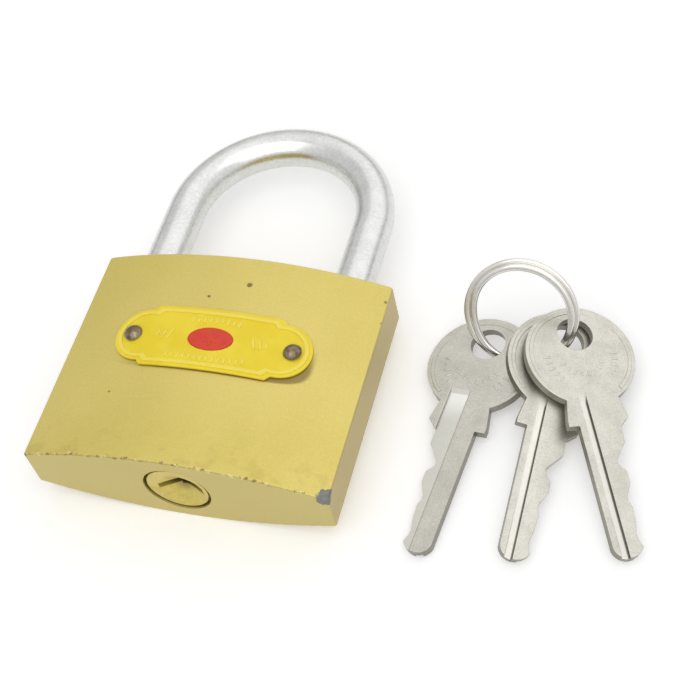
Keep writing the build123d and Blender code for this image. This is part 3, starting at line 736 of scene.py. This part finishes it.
def split_ring_piece():
    section = wire_section()
    rings = []
    for step in range(ring_steps + 1):
        along = (720.0 - ring_end_gap) * step / ring_steps
        angle = math.radians(cross_start + cross_length / 2 + along)
        crossing = (along - (360.0 - cross_length / 2 - ring_end_gap / 2)) / cross_length
        crossing = min(max(crossing, 0.0), 1.0)
        coil = crossing * crossing * (3 - 2 * crossing)
        shift = ring_pitch * (coil - 0.5)
        away = (math.degrees(angle) - parting_place + 180.0) % 360.0 - 180.0
        parting = ring_parting * coil * math.exp(-((away / parting_spread) ** 2))
        reach = ring_radius + ring_step * (1.0 - 2.0 * coil) - parting
        outward = Vector((1, 0, 0)) * math.cos(angle) + ring_up * math.sin(angle)
        rings.append([
            ring_centre + outward * (reach + out) + ring_axis * (side + shift) for out, side in section
        ])
    form = bmesh.new()
    loft(form, rings)
    mesh_piece("split_ring_wire", form, node_bodies["split_ring"], "ring_steel", "split_ring")


split_ring_piece()

# Keys, plate and plug with softly rounded edges: node, piece and width of the rounding
rounded_pieces = (
    ("key_left", "key_left_blank", 0.12),
    ("key_middle", "key_middle_blank", 0.12),
    ("key_right", "key_right_blank", 0.12),
    ("name_plate", "name_plate_sheet", 0.09),
    ("plug", "plug_face", 0.08),
)
rounding_angle = 30.0
rounding_steps = 2
weld_reach = 0.002
flat_angle = 0.6


def rounded_copy(node, name, width):
    """Copy of a node's solid with its edges softly rounded."""
    mesh = frame["nodes"][node].data.copy()
    mesh.name = name
    form = bmesh.new()
    form.from_mesh(mesh)
    bmesh.ops.remove_doubles(form, verts=form.verts, dist=weld_reach * mm)
    bmesh.ops.dissolve_limit(
        form, angle_limit=math.radians(flat_angle), verts=form.verts, edges=form.edges, delimit={"NORMAL"}
    )
    form.to_mesh(mesh)
    form.free()
    piece = bpy.data.objects.new(name, mesh)
    bevel = piece.modifiers.new("rounding", "BEVEL")
    bevel.width = width * mm
    bevel.segments = rounding_steps
    bevel.limit_method = "ANGLE"
    bevel.angle_limit = math.radians(rounding_angle)
    bevel.use_clamp_overlap = True
    bevel.harden_normals = True
    show(piece, node_bodies[node], slots[node], node)
    soften(mesh, rounding_angle)


for node, name, width in rounded_pieces:
    rounded_copy(node, name, width)


def pin_spring_piece(index):
    node = f"pin_spring_{index}"
    piece = bpy.data.objects.new(f"{node}_coil", frame["nodes"][node].data.copy())
    show(piece, node_bodies[node], slots[node], node)
    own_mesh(piece)


for index in range(1, 6):
    pin_spring_piece(index)

# Small raised bars: how deep they are sunk, their shoulder, and their outline from -1 to 1 with bulged ends
bar_sink = 0.05
bar_shoulder_height = 0.55
bar_shoulder_share = 0.95
bar_bulge = 1.25
bar_outline = (
    (-1, -1), (-0.45, -bar_bulge), (0.45, -bar_bulge), (1, -1),
    (1, 1), (0.45, bar_bulge), (-0.45, bar_bulge), (-1, 1),
)


def raised_bar(form, surface, x, y, half_long, half_wide, rise, turn=0.0, taper=0.6):
    """Small raised bar; surface(x, y, lift) gives a place on what carries it."""
    cos_turn, sin_turn = math.cos(turn), math.sin(turn)
    rings = []
    for lift, share in ((-bar_sink, 1.0), (rise * bar_shoulder_height, bar_shoulder_share), (rise, taper)):
        ring = []
        for a, b in bar_outline:
            wide = a * half_wide * share
            long = b / bar_bulge * (half_long - half_wide * (1 - share))
            across = wide * cos_turn - long * sin_turn
            along = wide * sin_turn + long * cos_turn
            ring.append(surface(x + across, y + along, lift))
        rings.append(ring)
    loft(form, rings)


# Name plate: two rows of bars, given by count, height and curve, and three bars at each end
plate_top = 0.6
plate_rows = ((9, 4.55, -0.012), (14, -4.75, 0.007))
plate_bar_spacing = 1.25
plate_bar_half_long = 0.78
plate_bar_shortening = 0.16
plate_bar_half_wide = 0.3
plate_bar_rise = 0.22
end_bars = (1.5, 1.15, 0.8)
end_bar_place = 8.9
end_bar_height = 0.4
end_bar_spacing = 1.35
end_bar_lean = 0.35


def on_plate(x, y, lift):
    return Vector((x, plate_height + y, face_height(x) + plate_top + lift))


def plate_ornament():
    form = bmesh.new()
    for count, base, curve in plate_rows:
        for index in range(count):
            x = (index - (count - 1) / 2) * plate_bar_spacing
            half_long = plate_bar_half_long - plate_bar_shortening * (index % 2)
            raised_bar(
                form, on_plate, x, base + curve * x * x, half_long, plate_bar_half_wide, plate_bar_rise,
                turn=2 * curve * x,
            )
    for side in (-1, 1):
        for step, half_long in enumerate(end_bars):
            x = side * (end_bar_place + end_bar_spacing * step)
            raised_bar(
                form, on_plate, x, end_bar_height, half_long, plate_bar_half_wide, plate_bar_rise,
                turn=side * end_bar_lean,
            )
    mesh_piece("plate_bars", form, node_bodies["name_plate"], "plate_paint")


# Red oval: three crossed bars and one at each end, with their half lengths and half widths
oval_top = 0.7
oval_bar_rise = 0.12
crossed_bar = (1.7, 0.34)
oval_end_bar = (0.75, 0.3)
oval_end_place = 3.1


def on_oval(x, y, lift):
    return on_plate(x, y, oval_top - plate_top + lift)


def oval_ornament():
    form = bmesh.new()
    for turn in (0, 60, 120):
        raised_bar(form, on_oval, 0.0, 0.0, *crossed_bar, oval_bar_rise, turn=math.radians(turn))
    for x in (-oval_end_place, oval_end_place):
        raised_bar(form, on_oval, x, 0.0, *oval_end_bar, oval_bar_rise)
    mesh_piece("oval_ornament", form, node_bodies["oval_inlay"], "inlay_enamel")


plate_ornament()
oval_ornament()

# Key bows: a raised border and arcs of small raised bars, which stop above the blade
border_inner = 9.45
border_outer = 10.35
border_slope = 0.12
border_rise = 0.1
border_start = -52.0
border_end = 232.0
border_steps = 72
bow_arcs = ((6.9, 180, 360, 17, 0.75), (4.3, 205, 335, 8, 0.6))
bow_bar_half_wide = 0.22
bow_bar_shortening = 0.15
bow_bar_rise = 0.11
relief_low = 9.9


def key_relief(side):
    place = KeyPlace(side)
    form = bmesh.new()
    section = (
        (border_inner, -bar_sink), (border_inner + border_slope, border_rise),
        (border_outer - border_slope, border_rise), (border_outer, -bar_sink),
    )
    rings = []
    for step in range(border_steps + 1):
        angle = math.radians(border_start + (border_end - border_start) * step / border_steps)
        rings.append([
            place.point(radius * math.cos(angle), key_bow_centre + radius * math.sin(angle), lift)
            for radius, lift in section
        ])
    loft(form, rings)
    for radius, first, last, count, half_long in bow_arcs:
        for index in range(count):
            angle = math.radians(first + (last - first) * index / (count - 1))
            across = radius * math.cos(angle)
            along = key_bow_centre + radius * math.sin(angle)
            if along >= relief_low:
                raised_bar(
                    form, place.point, across, along, half_long - bow_bar_shortening * (index % 2),
                    bow_bar_half_wide, bow_bar_rise, turn=angle - math.pi / 2, taper=0.5,
                )
    relief = mesh_piece(f"key_{side}_relief", form, node_bodies[f"key_{side}"], "key_nickel")
    relief.data.materials[0] = materials[f"key_{side}_nickel"]


for side in key_headings:
    key_relief(side)

# Floor: plain and white, keeping a soft shadow; it glows a little more far from the object
floor_reach = 3.0
glow_middle = (20.0, 40.0, table_height)
glow_near = 250.0
glow_far = 1200.0
glow_low = 0.27
glow_high = 0.6
floor_colour = (0.9, 0.9, 0.9, 1.0)
white = (1.0, 1.0, 1.0, 1.0)


def floor_material():
    nodes = MaterialNodes("floor")
    rays = nodes.rays()
    seen = nodes.most(rays["Is Camera Ray"], rays["Is Glossy Ray"])
    seen = nodes.most(seen, rays["Is Transmission Ray"])
    glow = nodes.step(nodes.distance(*glow_middle), glow_near, glow_far, glow_low, glow_high)
    diffuse = nodes.fill("ShaderNodeBsdfDiffuse", floor_colour)
    lift = nodes.fill("ShaderNodeEmission", white, nodes.times(seen, glow))
    return nodes.finish(nodes.fill("ShaderNodeAddShader", diffuse.outputs[0], lift.outputs[0]))


corners = ((-1, -1), (1, -1), (1, 1), (-1, 1))
floor_points = [(x * floor_reach, y * floor_reach, table_height * mm) for x, y in corners]
floor_mesh = bpy.data.meshes.new("floor")
floor_mesh.from_pydata(floor_points, [], [(0, 1, 2, 3)])
floor_mesh.materials.append(floor_material())
floor = bpy.data.objects.new("floor", floor_mesh)
bpy.context.scene.collection.objects.link(floor)

# World: white behind the object, plain soft light on it, greyer to the left and low down in metal
soft_light = 0.52
left_grey = 0.8
low_grey = 0.45


def make_world():
    world = bpy.data.worlds.new("world")
    world.use_nodes = True
    bpy.context.scene.world = world
    nodes = Nodes(world.node_tree)
    rays = nodes.rays()
    x, y, z = nodes.parts(nodes.coordinates.outputs["Generated"])
    sideways = nodes.ramp(x, -0.75, 0.25, left_grey, 1.0)
    skyline = nodes.ramp(z, 0.0, 0.3, low_grey, 1.0)
    lit = nodes.ramp(rays["Is Glossy Ray"], 0.0, 1.0, soft_light, nodes.times(sideways, skyline))
    behind = nodes.most(rays["Is Camera Ray"], rays["Is Transmission Ray"])
    background = world.node_tree.nodes["Background"]
    nodes.put(background.inputs["Strength"], nodes.ramp(behind, 0.0, 1.0, lit, 1.0))
    nodes.put(background.inputs["Color"], white)


make_world()

# Lamps: large soft squares that look at the object, sizes and places in metres
lamp_aim = Vector((0.02, 0.03, 0.0))


def area_light(name, place, size, power):
    data = bpy.data.lights.new(name, "AREA")
    data.size = size
    data.energy = power
    lamp = bpy.data.objects.new(name, data)
    lamp.location = place
    lamp.rotation_euler = (lamp_aim - Vector(place)).to_track_quat("-Z", "Y").to_euler()
    bpy.context.scene.collection.objects.link(lamp)


area_light("key_light", (0.12, -0.4, 0.8), 1.1, 3.7)
area_light("fill_light", (0.2, 0.5, 0.75), 1.3, 1.5)
